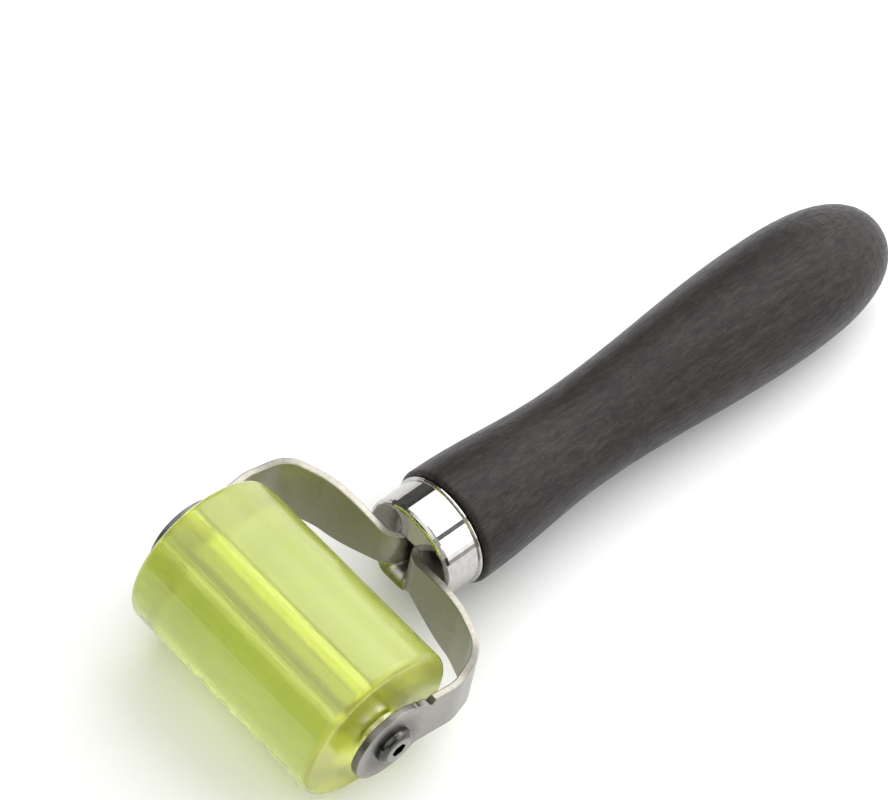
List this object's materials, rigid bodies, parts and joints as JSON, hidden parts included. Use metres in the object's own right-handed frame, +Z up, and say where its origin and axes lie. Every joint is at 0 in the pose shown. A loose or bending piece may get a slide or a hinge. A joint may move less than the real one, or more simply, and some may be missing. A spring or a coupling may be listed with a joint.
{
  "type": "rubber brayer",
  "caption": "Hand roller for inking and pressing: a soft urethane roller turning in a folded sheet-steel fork on a turned wooden handle.",
  "frame": {"origin": "bench level, under the middle of the outline seen from above, with the tool lying on its roller and on the swell of its handle", "axes": "+X along the roller's axle, +Y from the roller towards the end of the handle, +Z up"},
  "size_m": [0.0742, 0.2144, 0.041],
  "materials": {
    "black_wood": "turned hardwood stained black, satin, with fine grain flecks",
    "ferrule_nickel": "bright nickel plate",
    "fork_nickel": "satin nickel-plated sheet steel with bright cut edges",
    "axle_steel": "ground steel rod",
    "brass": "drawn brass tube",
    "urethane": "translucent yellow-green cast urethane, smooth",
    "washer_brass": "bright turned brass",
    "screw_steel": "smooth dark steel"
  },
  "bodies": {
    "frame": {"handle": "black_wood", "ferrule": "ferrule_nickel", "fork": "fork_nickel", "axle": "axle_steel", "thrust_washer_left": "washer_brass", "thrust_washer_right": "washer_brass", "screw_left": "screw_steel", "screw_right": "screw_steel"},
    "roller": {"roller_cover": "urethane", "core_sleeve": "brass"}
  },
  "joints": [
    {"name": "roller_spin", "type": "hinge", "parent": "frame", "child": "roller", "pos_m": [0, -0.08667, 0.0205], "axis": [1, 0, 0], "continuous": true}
  ]
}
